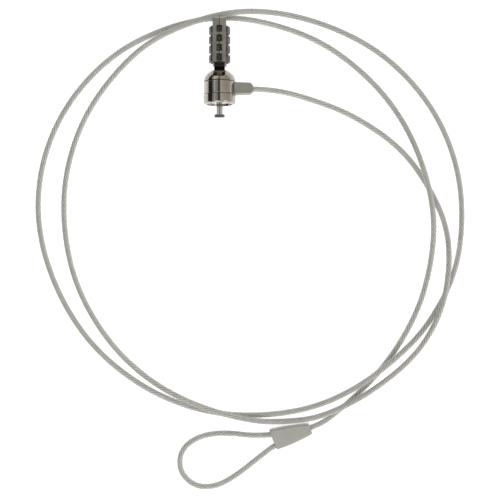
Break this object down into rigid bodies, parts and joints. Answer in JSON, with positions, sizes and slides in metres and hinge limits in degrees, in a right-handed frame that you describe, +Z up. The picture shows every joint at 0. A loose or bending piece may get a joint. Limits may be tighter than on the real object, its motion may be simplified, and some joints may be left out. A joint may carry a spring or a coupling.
{
  "type": "laptop cable lock",
  "caption": "Laptop cable lock: combination-dial body hinged to a round T-bar head, with a jacketed wire-rope cable on a swivel collar that ends in a crimped loop.",
  "frame": {"origin": "centre of the lock's bounding box on the surface it lies on, the cable left out", "axes": "+Z up; +Y along the lock from the T-bar to the end of the combination body; +X towards the side that the cable leaves from"},
  "size_m": [0.2702, 0.302, 0.02],
  "materials": {
    "polished_nickel": "polished",
    "bright_chrome": "polished",
    "satin_nickel": "satin",
    "dial_nickel": "satin",
    "inner_brass": "plain",
    "inner_steel": "plain",
    "spring_steel": "bright",
    "dark_washer": "matte",
    "grey_moulding": "matte",
    "crimped_aluminium": "plain",
    "jacketed_rope": "clear jacket over twisted steel wires"
  },
  "bodies": {
    "collar": {"swivel_collar": "polished_nickel", "lower_swivel_washer": "dark_washer", "upper_swivel_washer": "dark_washer", "anchor_ferrule": "crimped_aluminium", "anchor_cover": "grey_moulding", "cable_turn_1": "jacketed_rope", "cable_turn_2": "jacketed_rope", "cable_turn_3": "jacketed_rope", "cable_loop": "jacketed_rope", "crimp_cover": "grey_moulding", "crimp_sleeve": "crimped_aluminium"},
    "base": {"bottom_ring": "polished_nickel", "face_plate": "bright_chrome", "guide_pins": "bright_chrome", "spring_washer": "spring_steel"},
    "head": {"head_dome": "polished_nickel", "spindle_carrier": "inner_steel", "carrier_screws": "inner_steel", "stop_pin": "inner_steel", "t_bar_spindle": "bright_chrome", "t_bar": "bright_chrome", "retaining_clip": "inner_steel", "hinge_pin": "satin_nickel", "hinge_washers": "satin_nickel", "plunger_spring": "spring_steel"},
    "plunger": {"plunger": "inner_steel"},
    "housing": {"combination_housing": "satin_nickel", "housing_back_cover": "satin_nickel", "cover_screws": "satin_nickel", "detent_spring": "spring_steel", "rod_spring": "spring_steel"},
    "rod": {"locking_rod": "inner_steel", "rod_foot": "inner_steel"},
    "reset": {"reset_screw": "satin_nickel"},
    "dial_1": {"dial_wheel_1": "dial_nickel", "dial_cam_1": "inner_brass"},
    "dial_2": {"dial_wheel_2": "dial_nickel", "dial_cam_2": "inner_brass"},
    "dial_3": {"dial_wheel_3": "dial_nickel", "dial_cam_3": "inner_brass"},
    "dial_4": {"dial_wheel_4": "dial_nickel", "dial_cam_4": "inner_brass"}
  },
  "joints": [
    {"name": "head_swivel", "type": "hinge", "parent": "collar", "child": "base", "pos_m": [0, -0.0125, 0.01], "axis": [0, 1, 0], "continuous": true},
    {"name": "lock_turn", "type": "hinge", "parent": "base", "child": "head", "pos_m": [0, -0.0125, 0.01], "axis": [0, 1, 0], "range_deg": [0, 90]},
    {"name": "housing_tilt", "type": "hinge", "parent": "head", "child": "housing", "pos_m": [0, -0.00285, 0.01], "axis": [1, 0, 0], "range_deg": [0, 50]},
    {"name": "plunger_lift", "type": "slide", "parent": "head", "child": "plunger", "axis": [0, 1, 0], "range_m": [-0.0012, 0], "stiffness_N_per_m": 200, "deforming": ["plunger_spring"]},
    {"name": "rod_slide", "type": "slide", "parent": "housing", "child": "rod", "axis": [0, 1, 0], "range_m": [-0.0012, 0], "deforming": ["rod_spring"]},
    {"name": "dial_1_turn", "type": "hinge", "parent": "housing", "child": "dial_1", "pos_m": [0, 0.00565, 0.01], "axis": [0, 1, 0], "continuous": true},
    {"name": "dial_2_turn", "type": "hinge", "parent": "housing", "child": "dial_2", "pos_m": [0, 0.01148, 0.01], "axis": [0, 1, 0], "continuous": true},
    {"name": "dial_3_turn", "type": "hinge", "parent": "housing", "child": "dial_3", "pos_m": [0, 0.01731, 0.01], "axis": [0, 1, 0], "continuous": true},
    {"name": "dial_4_turn", "type": "hinge", "parent": "housing", "child": "dial_4", "pos_m": [0, 0.02314, 0.01], "axis": [0, 1, 0], "continuous": true},
    {"name": "reset_turn", "type": "hinge", "parent": "housing", "child": "reset", "pos_m": [0, 0.0295, 0.01], "axis": [0, 1, 0], "range_deg": [0, 90]}
  ],
  "couplings": [
    {"joint": "rod_slide", "follows": "plunger_lift", "ratio": 1}
  ]
}
